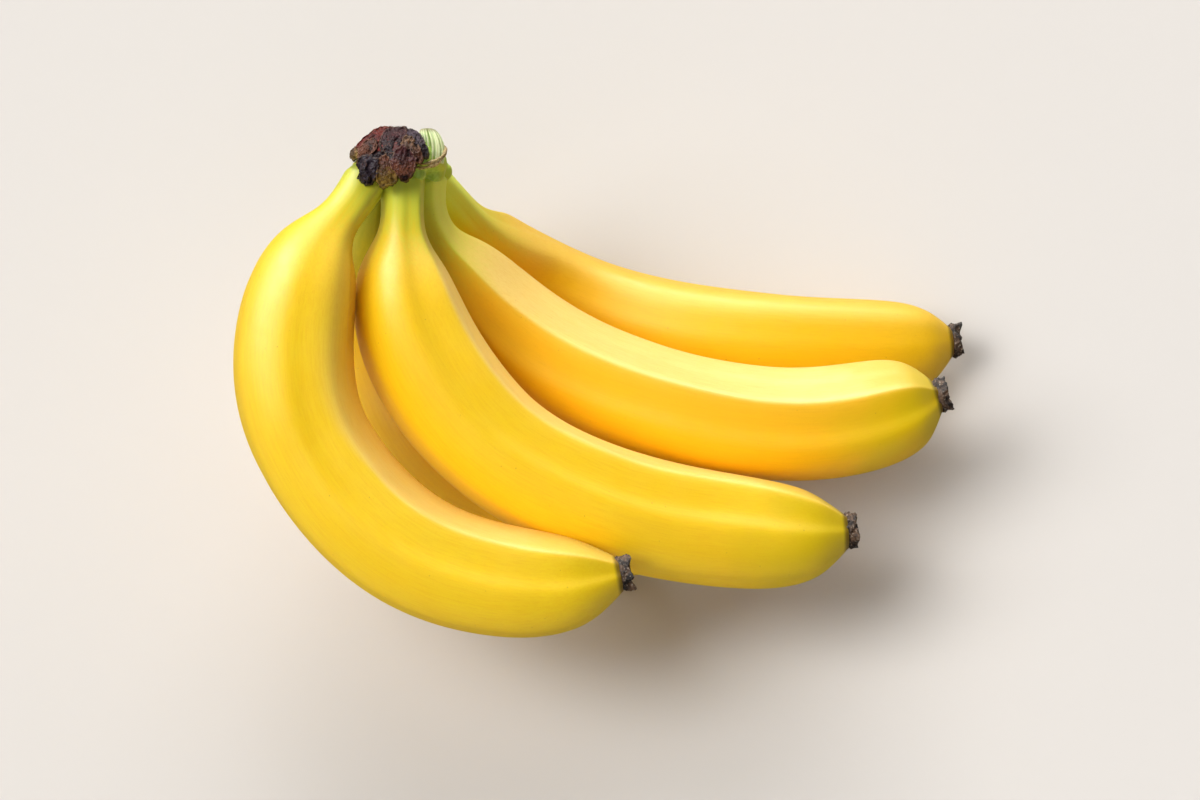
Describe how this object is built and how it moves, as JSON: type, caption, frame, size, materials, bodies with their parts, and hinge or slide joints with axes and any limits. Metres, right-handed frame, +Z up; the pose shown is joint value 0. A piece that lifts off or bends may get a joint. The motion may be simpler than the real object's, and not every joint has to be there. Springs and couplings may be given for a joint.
{
  "type": "bunch of bananas",
  "caption": "Bunch of curved ripe bananas joined at one cut crown, with a dried scab, a green stub of stalk and dry dark blossom ends, lying on its side.",
  "frame": {"origin": "on the surface that the bunch rests on, under the middle of its outside box", "axes": "+X from the crown's side towards the blossom ends, +Y towards the side the crown leans to, +Z up from the surface"},
  "size_m": [0.2383, 0.1604, 0.1262],
  "materials": {
    "peel": null,
    "green_stalk": null,
    "dried_cut": null,
    "dry_blossom": null
  },
  "bodies": {
    "root": {"banana_1": "peel", "banana_2": "peel", "banana_3": "peel", "banana_4": "peel", "banana_5": "peel", "blossom_end_1": "dry_blossom", "blossom_end_2": "dry_blossom", "blossom_end_3": "dry_blossom", "blossom_end_4": "dry_blossom", "blossom_end_5": "dry_blossom", "crown": "green_stalk", "crown_scar": "dried_cut"}
  },
  "joints": []
}
